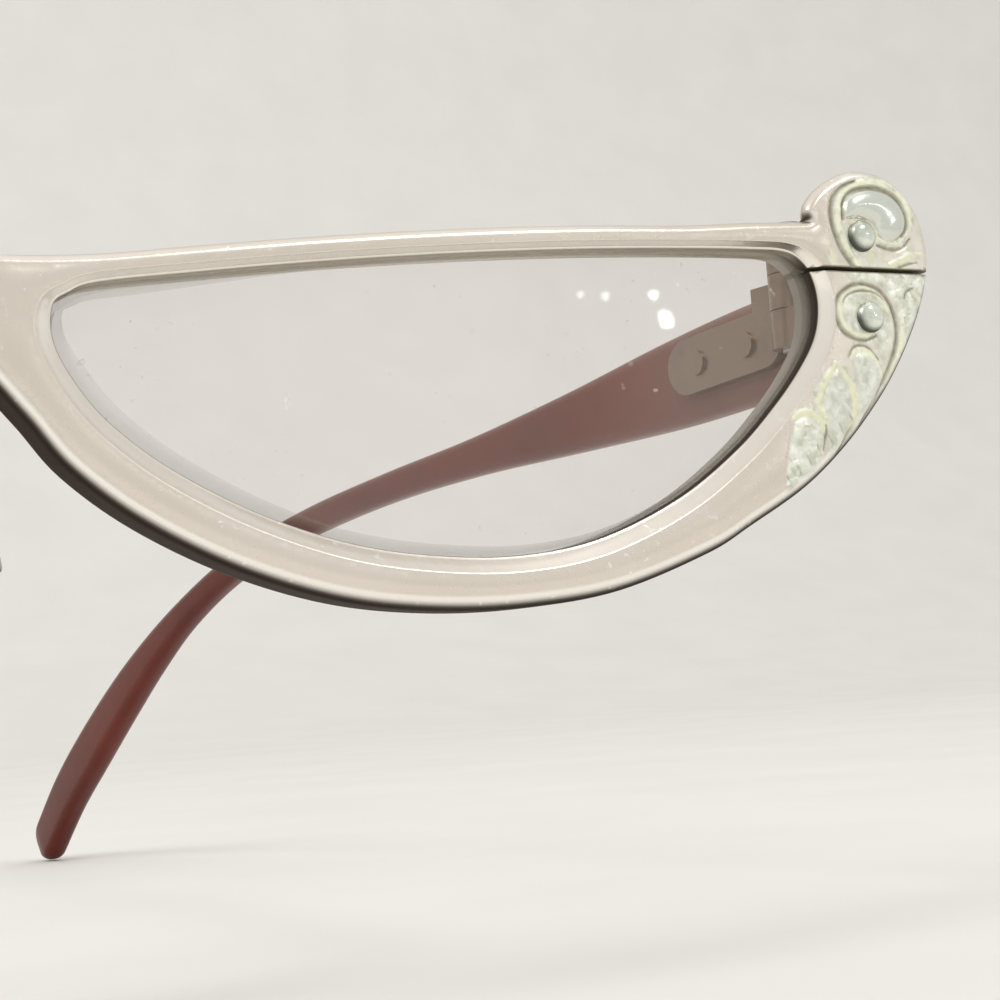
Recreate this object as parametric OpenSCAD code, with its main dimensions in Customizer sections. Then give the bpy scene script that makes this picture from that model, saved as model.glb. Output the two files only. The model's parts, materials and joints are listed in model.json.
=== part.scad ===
/* [Front] */
// Thickness of the front from its face to its back
front_t = 3; // [2.6:0.1:3.6]
// Sweep of each half of the front towards its temple, in degrees
wrap_angle = 3; // [0:0.5:6]
// Width of one lens opening
lens_w = 46.3; // [42:0.1:50]
// Height of one lens opening
lens_h = 17.3; // [16:0.1:20]
// Distance between the two lens openings at the bridge
bridge_w = 20.9; // [19:0.1:24]
// Height of the bridge at its middle
bridge_h = 4.6; // [3.6:0.1:5.6]
// How far the brow line falls from the temple side to the nose
brow_drop = 3.65; // [2.5:0.05:5]
// Width of the thin bar above the lens
top_bar_w = 1.35; // [1.3:0.05:2]
// Width of the rim below the lens
rim_w = 3.25; // [2.8:0.05:4]
// Width of the bevel round the lens on the face
bevel_w = 0.95; // [0.4:0.05:1.2]
// Rounding of the outer edge of the face
edge_r = 0.55; // [0.3:0.05:0.7]
// Rounding of the outer edge of the back
back_r = 0.4; // [0.2:0.05:0.6]
// Saw cut that lets the rim open for the lens
split_gap = 0.25; // [0.15:0.05:0.4]

/* [Lens] */
// Depth of the groove that holds the lens
groove_d = 0.55; // [0.4:0.05:0.7]
// Thickness of the lens at its middle
lens_t = 2.4; // [2.2:0.1:3]
// Radius of the front surface of the lens
lens_front_r = 200; // [170:10:300]
// Radius of the back surface of the lens
lens_back_r = 400; // [350:10:600]
// Gap between the lens and its rim
lens_gap = 0.12; // [0.08:0.02:0.2]

/* [Hinge] */
// Outer radius of the hinge barrels
barrel_r = 1.3; // [1.2:0.05:1.6]
// Radius of the hinge screw
screw_r = 0.7; // [0.6:0.05:0.8]
// Running clearance between the screw and the barrels
screw_clear = 0.05; // [0.03:0.01:0.08]
// Height of the middle barrel, on the temple
knuckle_h = 2.2; // [1.8:0.1:2.6]
// Height of each outer barrel, on the front
leaf_barrel_h = 2.4; // [2:0.1:3]
// Free height between two barrels
knuckle_gap = 0.06; // [0.04:0.01:0.1]
// Thickness of the hinge leaves on the front
leaf_t = 0.9; // [0.7:0.05:1.1]
// Radius of the round heads of the two rivets on the face
rivet_head_r = 0.9; // [0.8:0.05:1.1]
// Radius of the shanks of the rivets
rivet_r = 0.55; // [0.45:0.05:0.65]
// Clearance round every rivet and small pin
pin_clear = 0.03; // [0.02:0.01:0.05]
// Thickness of the hinge plate on the temple
plate_t = 0.8; // [0.6:0.05:1]
// Length of the hinge plate on the temple
plate_l = 13; // [11:0.5:16]
// Height of the hinge plate on the temple
plate_h = 3.8; // [3:0.1:4.2]

/* [Temples] */
// Length of a temple along its middle line, as a share of the drawn one
temple_reach = 1; // [0.94:0.01:1.06]
// Height of the temple at the hinge
butt_h = 6.6; // [5.8:0.1:7.2]
// Height of the temple at its slimmest
slim_h = 2.6; // [2.4:0.1:3.4]
// Height of the temple near its tip
tip_h = 5.4; // [4.6:0.1:6.2]
// Thickness of the temple at the hinge
butt_t = 3; // [2.8:0.1:3.6]
// Thickness of the temple at its slimmest
slim_t = 2.3; // [2.1:0.1:2.8]
// How far the open temples lean towards each other, in degrees
temple_lean = 11; // [8:0.5:12]
// Radius of the core wire inside the temple
core_r = 0.5; // [0.4:0.05:0.6]
// Clearance between the temple and what it passes
temple_clear = 0.3; // [0.2:0.05:0.5]

/* [Nose pads] */
// Half the length of a nose pad
pad_a = 5.5; // [5:0.1:6]
// Half the width of a nose pad
pad_b = 3.5; // [2.8:0.1:4]
// Thickness of a nose pad
pad_t = 1.9; // [1.4:0.1:2.4]
// Radius of the wire of the pad arm
arm_r = 0.5; // [0.4:0.05:0.6]
// Radius of the round eye at the end of the pad arm
arm_eye_r = 1.5; // [1.3:0.1:1.8]
// Thickness of the eye and of the foot of the pad arm
arm_t = 0.6; // [0.5:0.05:0.8]
// Radius of the pad screw
pad_screw_r = 0.45; // [0.35:0.05:0.5]
// Splay of the pads seen from above, in degrees
pad_splay = 25; // [15:1:35]
// Slope of the pads seen from the front, in degrees
pad_slope = 12; // [8:1:24]

/* [Hidden] */
$fn = 48;
steps = 3;

// The half frame has x along the front from the nose, y back from the face and
// z up from the saw cut. Points of an outline are [x, z], clockwise from the front.
nasal_x = bridge_w / 2;
brow_z = 1.13;
brow_curve = 1.87;
function eye(u, v) = [nasal_x + u * lens_w, brow_z - v * lens_h];
function brow(u) = [nasal_x + u * lens_w, brow_z - brow_drop * pow(1 - u, brow_curve)];

brow_points = [for (u = [0.055, 0.16, 0.28, 0.4, 0.53, 0.67, 0.8, 0.9]) brow(u)];
temple_corner = [eye(0.955, 0.006), eye(0.983, 0.045), eye(0.997, 0.115), eye(1, 0.205)];
lower_points = [eye(0.99, 0.305), eye(0.964, 0.41), eye(0.922, 0.53), eye(0.858, 0.68),
    eye(0.765, 0.835), eye(0.65, 0.951), eye(0.54, 0.996), eye(0.43, 0.993), eye(0.325, 0.954),
    eye(0.22, 0.863), eye(0.125, 0.733), eye(0.06, 0.6), eye(0.024, 0.482)];
nose_corner = [eye(0.003, 0.365), [nasal_x + 0.18, brow(0).y - 0.9], [nasal_x + 1, brow(0).y - 0.2]];
eye_points = concat(brow_points, temple_corner, lower_points, nose_corner);

function spline(a, b, c, d, t) =
    0.5 * (2 * b + (c - a) * t + (2 * a - 5 * b + 4 * c - d) * t * t + (3 * b - a - 3 * c + d) * t * t * t);
function closed_curve(p, n) = let (m = len(p))
    [for (i = [0:m - 1]) for (k = [0:n - 1])
        spline(p[(i + m - 1) % m], p[i], p[(i + 1) % m], p[(i + 2) % m], k / n)];
function open_curve(p, n) = let (m = len(p))
    [for (i = [0:m - 2]) for (k = [0:n - 1])
        spline(p[max(i - 1, 0)], p[i], p[i + 1], p[min(i + 2, m - 1)], k / n)];

function unit(v) = v / norm(v);
function normal_at(p, i) = let (m = len(p), t = unit(p[(i + 1) % m] - p[(i + m - 1) % m])) [-t.y, t.x];
function moved_out(p, d) = [for (i = [0:len(p) - 1]) p[i] + d * normal_at(p, i)];

eye_outline = closed_curve(eye_points, steps);

// The endpiece is drawn round its anchor, between the two rivets on the saw cut.
lug_reach = 3.33;
curl_low = 3.1;
anchor_x = nasal_x + lens_w + lug_reach;
function lug(x, z) = [anchor_x + x, z];
bar_points = moved_out(eye_points, top_bar_w);
rim_points = moved_out(eye_points, rim_w);
bridge_top = -0.5;
bridge_low = bridge_top - bridge_h;
first_low = len(brow_points) + len(temple_corner) + 4;
last_low = len(brow_points) + len(temple_corner) + len(lower_points) - 1;
brow_edge = concat(
    [[-4, bridge_top - 0.15], [0, bridge_top], [4, bridge_top - 0.15], [8.2, bar_points[0].y - 0.3]],
    [for (i = [0:len(brow_points) - 2]) bar_points[i]],
    [lug(-8.1, brow_z + 1.53), lug(-4.6, brow_z + 1.75), lug(-3.7, 2.97)]);
scroll_edge = [lug(-3.7, 2.97), lug(-3.92, 3.6), lug(-3.5, 4.3), lug(-2.85, 4.92), lug(-1.8, 5.6),
    lug(-0.4, 6.16), lug(1.1, 6.25), lug(2.65, 5.8), lug(3.8, 4.9), lug(4.75, 3.5), lug(5.17, 1.8),
    lug(5.12, 0.3), lug(4.64, -1.4), lug(3.75, -3.3), lug(2.35, -5.6), lug(0.5, -7.75), lug(-2.3, -10.4),
    lug(-5.6, -12.8)];
lug_low = [lug(-9.6, -15)];
nose_edge = [[6.4, bridge_low - 1.3], [3.5, bridge_low - 0.3], [0, bridge_low], [-4, bridge_low - 0.35]];
low_edge = [for (i = [first_low:last_low]) rim_points[i]];
outline = concat(open_curve(brow_edge, 2),
    open_curve(concat(scroll_edge, lug_low, low_edge, nose_edge), 2),
    [nose_edge[3]]);

// The flat end of a ring in triangles, laid between its two sides along a slanting sweep.
sweep = [0.87, 0.5];
function ladder(s, a, b) = let (n = len(s), u = (a + 1) % n, v = (b + n - 1) % n)
    u == b ? [] : s[u] < s[v] ? concat([[b, a, u]], ladder(s, u, b)) : concat([[b, a, v]], ladder(s, a, v));
function flat_end(ring) = let (s = [for (p = ring) p.x * sweep.x + p.z * sweep.y],
    low = search(min(s), s)[0]) ladder(s, (low + 1) % len(s), low);

// A skin over rings of equal length, each clockwise as seen along the way it runs.
module skin(rings) {
    n = len(rings[0]);
    last = len(rings) - 1;
    polyhedron(
        points = [for (ring = rings) for (p = ring) p],
        faces = concat(
            flat_end(rings[0]),
            [for (f = flat_end(rings[last])) [last * n + f[0], last * n + f[2], last * n + f[1]]],
            [for (j = [0:last - 1]) for (i = [0:n - 1]) let (k = (i + 1) % n)
                [j * n + i, (j + 1) * n + i, (j + 1) * n + k]],
            [for (j = [0:last - 1]) for (i = [0:n - 1]) let (k = (i + 1) % n)
                [j * n + i, (j + 1) * n + k, j * n + k]]),
        convexity = 8);
}

// Layers are [offset, depth, change of the offset where the edge faces up, the
// same where it faces down, and how far the side of the curl is drawn in].
function curl_side(p, n) = p.y > curl_low && n.x < -0.05 ? -n.x : 0;
function layer(p, d) = [for (i = [0:len(p) - 1]) let (n = normal_at(p, i),
    out = d[0] * (1 + d[2] * max(n.y, 0) + d[3] * max(-n.y, 0)),
    q = p[i] + out * n + [d[4] * curl_side(p[i], n), 0]) [q.x, d[1], q.y]];
module layers(p, list) {
    skin([for (d = list) layer(p, d)]);
}

// Where the hinge turns, in the half frame.
hinge_x = anchor_x - 2.1;
hinge_y = front_t + leaf_t + 1;
hinge_z = -0.42;
upper_rivet = [anchor_x - 0.05, 2.09];
lower_rivet = [anchor_x + 0.05, -2.9];
knuckle_top = hinge_z + knuckle_h / 2;
knuckle_low = hinge_z - knuckle_h / 2;
upper_z = knuckle_top + knuckle_gap;
lower_z = knuckle_low - knuckle_gap;
screw_low = lower_z - leaf_barrel_h;
screw_top = upper_z + leaf_barrel_h;
bore_r = screw_r + screw_clear;

// Middle line of the temple in its own frame, from the hinge: [back, up, height, thickness].
temple_points = [[-3, -2.5, butt_h, butt_t], [6, -3, butt_h, butt_t], [15, -3.75, butt_h - 0.5, butt_t],
    [26, -4.65, (butt_h + slim_h) / 2, (butt_t + slim_t) / 2], [39, -5.5, slim_h + 0.5, slim_t],
    [52, -6.35, slim_h, slim_t], [65, -7.7, slim_h, slim_t], [76, -9.5, slim_h, slim_t],
    [85, -11.7, slim_h + 0.2, slim_t], [94, -14.9, slim_h + 0.6, slim_t],
    [102, -18.5, (slim_h + tip_h) / 2, slim_t + 0.2], [110, -22.7, tip_h - 0.6, slim_t + 0.4],
    [119, -28.1, tip_h, slim_t + 0.4], [126.5, -33, tip_h, slim_t + 0.4],
    [133, -38.3, tip_h - 0.2, slim_t + 0.4]];
temple_path = [for (p = temple_points) [p[0] * temple_reach, p[1], p[2], p[3]]];
temple_in = barrel_r + 0.25;
temple_line = concat(open_curve(temple_path, steps), [temple_path[len(temple_path) - 1]]);
function heading(i) = unit([for (k = [0:1])
    temple_line[min(i + 1, len(temple_line) - 1)][k] - temple_line[max(i - 1, 0)][k]]);

// One ring of the temple: a flat section with round corners, square to the middle line.
corner_angles = [[180, 135, 90], [90, 45, 0], [0, -45, -90], [-90, -135, -180]];
corner_sides = [[-1, 1], [1, 1], [1, -1], [-1, -1]];
function temple_ring(s, z, h, w, dir, x_mid) = let (r = 0.42 * min(h, w))
    [for (c = [0:3]) for (a = corner_angles[c])
        let (x = corner_sides[c].x * (w / 2 - r) + r * cos(a),
            n = corner_sides[c].y * (h / 2 - r) + r * sin(a))
            [x_mid + x, s - n * dir.y, z + n * dir.x]];
last_station = temple_line[len(temple_line) - 1];
end_dir = heading(len(temple_line) - 1);
end_r = last_station[2] / 2;
temple_rings = concat(
    [for (i = [0:len(temple_line) - 1]) let (p = temple_line[i])
        temple_ring(p[0], p[1], p[2], p[3], heading(i), temple_in + p[3] / 2)],
    [for (a = [25, 48, 68, 84]) let (q = [last_station[0], last_station[1]] + end_r * sin(a) * end_dir)
        temple_ring(q.x, q.y, last_station[2] * cos(a), last_station[3] * (0.35 + 0.65 * cos(a)), end_dir,
            temple_in + last_station[3] / 2)]);

// The core wire keeps to the middle of the temple, clear of the hinge rivets.
core_first = 7;
core_last = len(temple_line) - 3;
function core_ring(i, r) = let (p = temple_line[i], dir = heading(i))
    [for (a = [180:-60:-120])
        [temple_in + p[3] / 2 + r * cos(a), p[0] - r * sin(a) * dir.y, p[1] + r * sin(a) * dir.x]];
function core_rings(r) = [for (i = [core_first:2:core_last]) core_ring(i, r)];

// The origin lies under the middle of the whole, at the level of the temple tips.
lean = temple_lean - wrap_angle;
function turned(p, a) = [p.x * cos(a) - p.y * sin(a), p.x * sin(a) + p.y * cos(a), p.z];
function from_temple(p) = turned(turned(p, lean) + [hinge_x, hinge_y, 0], wrap_angle);
all_temple = [for (ring = temple_rings) for (p = ring) from_temple(p)];
low_z = min([for (p = all_temple) p.z]);
back_y = max([for (p = all_temple) p.y]);

module in_place() {
    translate([0, -back_y / 2, -low_z]) children();
}

module on_half(side) {
    in_place() mirror([side < 0 ? 1 : 0, 0, 0]) rotate([0, 0, wrap_angle]) children();
}

module at_temple() {
    translate([hinge_x, hinge_y, 0]) rotate([0, 0, lean]) children();
}

module along_y(r, from, to) {
    translate([0, from, 0]) rotate([-90, 0, 0]) cylinder(r = r, h = to - from);
}

module rivet_places() {
    for (p = [upper_rivet, lower_rivet]) translate([p.x, 0, p.y]) children();
}

// One half of the front, cut at the middle of the bridge.
module front_half() {
    intersection() {
        translate([0, -20, -40]) cube([90, 60, 60]);
        rotate([0, 0, wrap_angle]) difference() {
            intersection() {
                translate([-10, 0, -40]) cube([100, front_t, 60]);
                layers(outline, [[-edge_r - 0.06, -0.02, 0, 0.45, 0], [-edge_r * 0.4, edge_r * 0.18, 0, 0.45, 0],
                    [-edge_r * 0.08, edge_r * 0.6, 0, 0.45, 0], [0, edge_r * 1.2, 0, 0, 0],
                    [0, front_t - back_r * 1.5, 0, 0, 1.4],
                    [-back_r * 0.3, front_t - back_r * 0.6, 0, 0, 1.6],
                    [-back_r - 0.03, front_t + 0.02, 0, 0, 1.6]]);
            }
            layers(eye_outline, [[bevel_w, -0.01, -0.58, 0, 0], [0.14, 0.52, 0, 0, 0], [0, 0.66, 0, 0, 0],
                [0, groove_y - 0.45, 0, 0, 0], [groove_d, groove_y - 0.16, 0, 0, 0],
                [groove_d, groove_y + 0.16, 0, 0, 0], [0, groove_y + 0.45, 0, 0, 0],
                [0, front_t + 0.01, 0, 0, 0]]);
            translate([nasal_x + lens_w - 3, -1, -split_gap / 2]) cube([14, front_t + 2, split_gap]);
            rivet_places() along_y(rivet_r + pin_clear, -1, front_t + 1);
            translate([pad_seat.x, 0, pad_seat.y])
                along_y(arm_pin_r + pin_clear, front_t - arm_pin_l - 0.1, front_t + 1);
        }
    }
}

module front_frame() {
    color([0.86, 0.82, 0.76]) in_place() {
        front_half();
        mirror([1, 0, 0]) front_half();
    }
}

// The lens has a tongue all round that sits in the groove.
groove_y = 1.7;
lens_mid = eye(0.5, 0.5);
lens_front_y = -0.3;
module lens(side) {
    color([0.8, 0.84, 0.82, 0.35]) on_half(side) difference() {
        intersection() {
            layers(eye_outline, [[-lens_gap, -2, 0, 0, 0], [-lens_gap, groove_y - 0.36, 0, 0, 0],
                [groove_d - lens_gap, groove_y - 0.08, 0, 0, 0],
                [groove_d - lens_gap, groove_y + 0.08, 0, 0, 0],
                [-lens_gap, groove_y + 0.36, 0, 0, 0], [-lens_gap, front_t + 2, 0, 0, 0]]);
            translate([lens_mid.x, lens_front_y + lens_front_r, lens_mid.y])
                sphere(r = lens_front_r, $fn = 160);
        }
        translate([lens_mid.x, lens_front_y + lens_t + lens_back_r, lens_mid.y])
            sphere(r = lens_back_r, $fn = 200);
    }
}

// Each pad arm has a foot pinned to the back of the rim beside the nose, a bent
// wire and a flat eye behind the pad.
pad_seat = [nasal_x - 2.85, bridge_low - 0.3];
arm_pin_r = 0.45;
arm_pin_l = 1.4;
pad_at = [pad_seat.x - 0.4, front_t + 6.2, pad_seat.y - 10];
pad_normal = [-cos(pad_slope) * cos(pad_splay), cos(pad_slope) * sin(pad_splay), -sin(pad_slope)];
pad_up = [-sin(pad_slope) * cos(pad_splay), sin(pad_slope) * sin(pad_splay), cos(pad_slope)];
pad_boss_h = 1;
eye_at = pad_at - (pad_boss_h + arm_t / 2) * pad_normal;
pad_gap = 0.04;
arm_points = [[pad_seat.x, front_t + arm_t / 2, pad_seat.y],
    [pad_seat.x + 0.4, front_t + 1.8, pad_seat.y - 0.5],
    [pad_seat.x + 0.3, front_t + 3.3, pad_seat.y - 2.8], eye_at + (arm_eye_r + 0.8) * pad_up,
    eye_at + 0.8 * arm_eye_r * pad_up];
arm_line = concat(open_curve(arm_points, 4), [arm_points[len(arm_points) - 1]]);
function across(i) = unit(arm_line[min(i + 1, len(arm_line) - 1)] - arm_line[max(i - 1, 0)]);
// The wire is rolled flat where it enters its eye.
flat_r = arm_t / 2 - 0.08;
function arm_ring(i) = let (t = across(i), a = unit(cross(t, [0, 0, 1])), b = cross(t, a),
    thin = i > len(arm_line) - 6 ? flat_r : arm_r)
    [for (k = [0:7]) arm_line[i] + arm_r * cos(45 * k) * a + thin * sin(45 * k) * b];

module at_pad() {
    translate(pad_at) rotate([0, 0, -pad_splay]) rotate([0, -90 - pad_slope, 0]) children();
}

module pad_arm(side) {
    color([0.8, 0.78, 0.72]) on_half(side) {
        difference() {
            union() {
                skin([for (i = [0:len(arm_line) - 1]) arm_ring(i)]);
                at_pad() translate([0, 0, -pad_boss_h - arm_t]) cylinder(r = arm_eye_r, h = arm_t);
                translate([pad_seat.x, 0, pad_seat.y]) along_y(1.2, front_t, front_t + arm_t);
                translate([pad_seat.x, 0, pad_seat.y]) along_y(arm_pin_r, front_t - arm_pin_l, front_t + 0.1);
            }
            at_pad() translate([0, 0, -pad_boss_h - arm_t - 1])
                cylinder(r = pad_screw_r + pin_clear, h = arm_t + 2);
        }
    }
}

pad_outline = [for (a = [180:-12:-168]) [pad_a * cos(a), pad_b * sin(a)]];
module nose_pad(side) {
    color([0.9, 0.88, 0.8, 0.5]) on_half(side) at_pad() difference() {
        union() {
            rotate([-90, 0, 0]) layers(pad_outline, [[-1.5, -pad_t, 0, 0, 0], [-0.5, -pad_t * 0.82, 0, 0, 0],
                [0, -pad_t * 0.5, 0, 0, 0], [-0.2, -pad_t * 0.22, 0, 0, 0], [-0.8, 0, 0, 0, 0]]);
            translate([0, 0, pad_gap - pad_boss_h]) cylinder(r = 1.3, h = pad_boss_h + 0.2);
        }
        translate([0, 0, -pad_boss_h - 1]) cylinder(r = pad_screw_r + pin_clear, h = pad_boss_h + 1.5);
    }
}

module pad_screw(side) {
    color("silver") on_half(side) at_pad() {
        translate([0, 0, -pad_boss_h - arm_t - 0.1]) cylinder(r = pad_screw_r, h = pad_boss_h + arm_t + 0.4);
        difference() {
            translate([0, 0, -pad_boss_h - arm_t - 0.5]) cylinder(r = 0.85, h = 0.5);
            translate([-1, -0.12, -pad_boss_h - arm_t - 0.75]) cube([2, 0.24, 0.45]);
        }
    }
}

// The two leaves are held by one rivet each. Their barrels leave room for the
// temple's barrel, and the screw through all three also closes the saw cut.
leaf_reach = 4.9;
leaf_margin = 1.25;
module hinge_leaf(low, high, rivet, barrel_from) {
    difference() {
        union() {
            translate([hinge_x, front_t, low]) cube([leaf_reach, leaf_t, high - low]);
            translate([hinge_x, hinge_y, barrel_from]) cylinder(r = barrel_r, h = leaf_barrel_h);
            translate([hinge_x - 1, front_t, barrel_from]) cube([1.6, leaf_t + 0.4, leaf_barrel_h]);
        }
        translate([hinge_x, hinge_y, barrel_from - 1]) cylinder(r = bore_r, h = leaf_barrel_h + 2);
        translate([rivet.x, 0, rivet.y]) along_y(rivet_r + pin_clear, front_t - 1, front_t + leaf_t + 1);
    }
}

module upper_hinge_leaf(side) {
    color("silver") on_half(side) hinge_leaf(upper_z, upper_rivet.y + leaf_margin, upper_rivet, upper_z);
}

module lower_hinge_leaf(side) {
    color("silver") on_half(side) hinge_leaf(lower_rivet.y - leaf_margin, lower_z, lower_rivet, screw_low);
}

module endpiece_rivets(side) {
    color("silver") on_half(side) rivet_places() {
        along_y(rivet_r, -0.05, front_t + leaf_t);
        intersection() {
            along_y(rivet_head_r, -1, 0);
            translate([0, 0.45, 0]) sphere(r = 1.01);
        }
    }
}

module hinge_screw(side) {
    color("silver") on_half(side) translate([hinge_x, hinge_y, 0]) {
        translate([0, 0, screw_low - 0.2]) cylinder(r = screw_r, h = screw_top - screw_low + 0.3);
        difference() {
            translate([0, 0, screw_top]) cylinder(r = screw_r + 0.45, h = 0.7);
            translate([-2, -0.14, screw_top + 0.35]) cube([4, 0.28, 1]);
        }
    }
}

// Temple parts, drawn in the temple's own frame.
plate_z = -2.4;
temple_rivet_at = [[5.2, -2.75], [10, -3.1]];
module temple_rivet_places() {
    for (p = temple_rivet_at) translate([0, p.x, p.y]) rotate([0, 90, 0]) children();
}

module temple(side) {
    color([0.42, 0.16, 0.14]) on_half(side) difference() {
        at_temple() difference() {
            skin(temple_rings);
            skin(core_rings(core_r + 0.05));
            temple_rivet_places() cylinder(r = rivet_r + pin_clear, h = 9);
        }
        translate([hinge_x, front_t + leaf_t + temple_clear - 2 * butt_h, -1.5 * butt_h])
            cube([4 * butt_t, 2 * butt_h, 3 * butt_h]);
    }
}

module temple_core(side) {
    color([0.6, 0.6, 0.58]) on_half(side) at_temple() skin(core_rings(core_r));
}

module temple_hinge_plate(side) {
    color("silver") on_half(side) at_temple() difference() {
        union() {
            translate([0, 0, knuckle_low]) cylinder(r = barrel_r, h = knuckle_h);
            translate([temple_in - plate_t, 0, knuckle_low]) cube([plate_t, barrel_r + 3, knuckle_h]);
            hull() for (y = [barrel_r + 0.5 + plate_h / 2, plate_l - plate_h / 2])
                translate([temple_in - plate_t, y, plate_z - 0.07 * y]) rotate([0, 90, 0])
                    cylinder(r = plate_h / 2, h = plate_t, $fn = 32);
        }
        translate([0, 0, knuckle_low - 1]) cylinder(r = bore_r, h = knuckle_h + 2);
        temple_rivet_places() cylinder(r = rivet_r + pin_clear, h = 9);
    }
}

module temple_rivets(side) {
    color("silver") on_half(side) at_temple() temple_rivet_places() {
        translate([0, 0, temple_in - plate_t - 0.25]) cylinder(r = 0.85, h = 0.25);
        translate([0, 0, temple_in - plate_t - 0.1]) cylinder(r = rivet_r, h = plate_t + butt_t + 0.1);
    }
}

front_frame();
lens(-1);  // lens_left
lens(1);  // lens_right
pad_arm(-1);  // pad_arm_left
pad_arm(1);  // pad_arm_right
nose_pad(-1);  // nose_pad_left
nose_pad(1);  // nose_pad_right
pad_screw(-1);  // pad_screw_left
pad_screw(1);  // pad_screw_right
upper_hinge_leaf(-1);  // upper_hinge_leaf_left
upper_hinge_leaf(1);  // upper_hinge_leaf_right
lower_hinge_leaf(-1);  // lower_hinge_leaf_left
lower_hinge_leaf(1);  // lower_hinge_leaf_right
endpiece_rivets(-1);  // endpiece_rivets_left
endpiece_rivets(1);  // endpiece_rivets_right
hinge_screw(-1);  // hinge_screw_left
hinge_screw(1);  // hinge_screw_right
temple(-1);  // temple_left
temple(1);  // temple_right
temple_core(-1);  // temple_core_left
temple_core(1);  // temple_core_right
temple_hinge_plate(-1);  // temple_hinge_plate_left
temple_hinge_plate(1);  // temple_hinge_plate_right
temple_rivets(-1);  // temple_rivets_left
temple_rivets(1);  // temple_rivets_right
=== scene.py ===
import json
import math

import bmesh
import bpy
import numpy as np
from mathutils import Matrix, Vector
from mathutils.geometry import delaunay_2d_cdt


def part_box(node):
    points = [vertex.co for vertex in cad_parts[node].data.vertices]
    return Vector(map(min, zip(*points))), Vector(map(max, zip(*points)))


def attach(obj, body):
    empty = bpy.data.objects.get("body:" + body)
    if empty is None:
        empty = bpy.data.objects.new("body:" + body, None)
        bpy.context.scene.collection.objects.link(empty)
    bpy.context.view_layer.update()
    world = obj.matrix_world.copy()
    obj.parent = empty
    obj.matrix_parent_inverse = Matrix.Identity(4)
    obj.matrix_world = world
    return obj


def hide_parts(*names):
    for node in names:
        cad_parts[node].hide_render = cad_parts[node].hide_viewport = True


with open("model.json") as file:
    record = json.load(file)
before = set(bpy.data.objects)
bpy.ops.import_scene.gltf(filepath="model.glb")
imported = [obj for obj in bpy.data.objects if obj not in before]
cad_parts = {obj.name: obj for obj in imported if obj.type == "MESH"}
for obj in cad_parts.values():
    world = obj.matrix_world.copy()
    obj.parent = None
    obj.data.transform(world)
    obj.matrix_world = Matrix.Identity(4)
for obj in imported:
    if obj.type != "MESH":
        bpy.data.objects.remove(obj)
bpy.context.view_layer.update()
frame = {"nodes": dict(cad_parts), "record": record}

# The front
# One stamped plate of polished aluminium, 3 mm thick, with both eye openings,
# the bridge and the endpieces. Its outer edge is rolled round, the eyes have a
# bright bevel, and a saw cut through each endpiece lets the lens in.
# Sizes are in millimetres, in the frame of the right half: x from the middle of
# the bridge, y back from the face, and z up from the saw cut.
MM = 0.001
FRONT_T = 3.0
WRAP = math.radians(3.0)
LENS_W, LENS_H = 46.3, 17.3
NASAL_X = 20.9 / 2
BROW_Z, BROW_DROP, BROW_CURVE = 1.13, 3.65, 1.87
TOP_BAR_W, RIM_W = 1.35, 3.25
BEVEL_W, EDGE_R, BACK_R = 0.95, 0.55, 0.4
GROOVE_D, GROOVE_Y = 0.55, 1.7
ANCHOR_X = NASAL_X + LENS_W + 3.33
BRIDGE_TOP, BRIDGE_LOW = -0.5, -5.1
CURL_LOW = 3.1
CUT_GAP = 0.25
BEND_HALF = 6.0
# The saw cut lies a little above the hinge's middle, and the face is the CAD's front.
HINGE_UP = -0.42
CUT_Z = frame["record"]["behaviour"]["joints"][0]["pos_m"][2] / MM - HINGE_UP
FACE_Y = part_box("front_frame")[0].y / MM


def eye(u, v):
    """A point of the eye opening, in shares of its width and height."""
    return (NASAL_X + u * LENS_W, BROW_Z - v * LENS_H)


def brow(u):
    """A point of the opening's upper edge, which drops towards the nose."""
    return (NASAL_X + u * LENS_W, BROW_Z - BROW_DROP * (1 - u) ** BROW_CURVE)


def lug(x, z):
    """A point on the endpiece, from the middle of its saw cut."""
    return (ANCHOR_X + x, z)


def curve(points, steps, closed=False):
    """A smooth curve through the points, with so many steps between two of them."""
    p = np.array(points, float)
    m = len(p)
    t = (np.arange(steps) / steps)[:, None]
    out = []
    for i in range(m if closed else m - 1):
        near = np.arange(i - 1, i + 3)
        a, b, c, d = p[near % m if closed else np.clip(near, 0, m - 1)]
        out.append(0.5 * (2 * b + (c - a) * t + (2 * a - 5 * b + 4 * c - d) * t**2
                          + (3 * b - a - 3 * c + d) * t**3))
    if not closed:
        out.append(p[-1:])
    return np.vstack(out)


def outward(p):
    """The normal at each point of a closed outline that runs clockwise."""
    t = np.roll(p, -1, 0) - np.roll(p, 1, 0)
    t /= np.linalg.norm(t, axis=1)[:, None]
    return np.stack([-t[:, 1], t[:, 0]], 1)


BROW_POINTS = [brow(u) for u in (0.055, 0.16, 0.28, 0.4, 0.53, 0.67, 0.8, 0.9)]
TEMPLE_CORNER = [eye(0.955, 0.006), eye(0.983, 0.045), eye(0.997, 0.115), eye(1, 0.205)]
LOWER_POINTS = [eye(u, v) for u, v in (
    (0.99, 0.305), (0.964, 0.41), (0.922, 0.53), (0.858, 0.68), (0.765, 0.835), (0.65, 0.951),
    (0.54, 0.996), (0.43, 0.993), (0.325, 0.954), (0.22, 0.863), (0.125, 0.733), (0.06, 0.6),
    (0.024, 0.482))]
NOSE_CORNER = [eye(0.003, 0.365), (NASAL_X + 0.18, brow(0)[1] - 0.9), (NASAL_X + 1, brow(0)[1] - 0.2)]
EYE_POINTS = np.array(BROW_POINTS + TEMPLE_CORNER + LOWER_POINTS + NOSE_CORNER)

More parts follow.
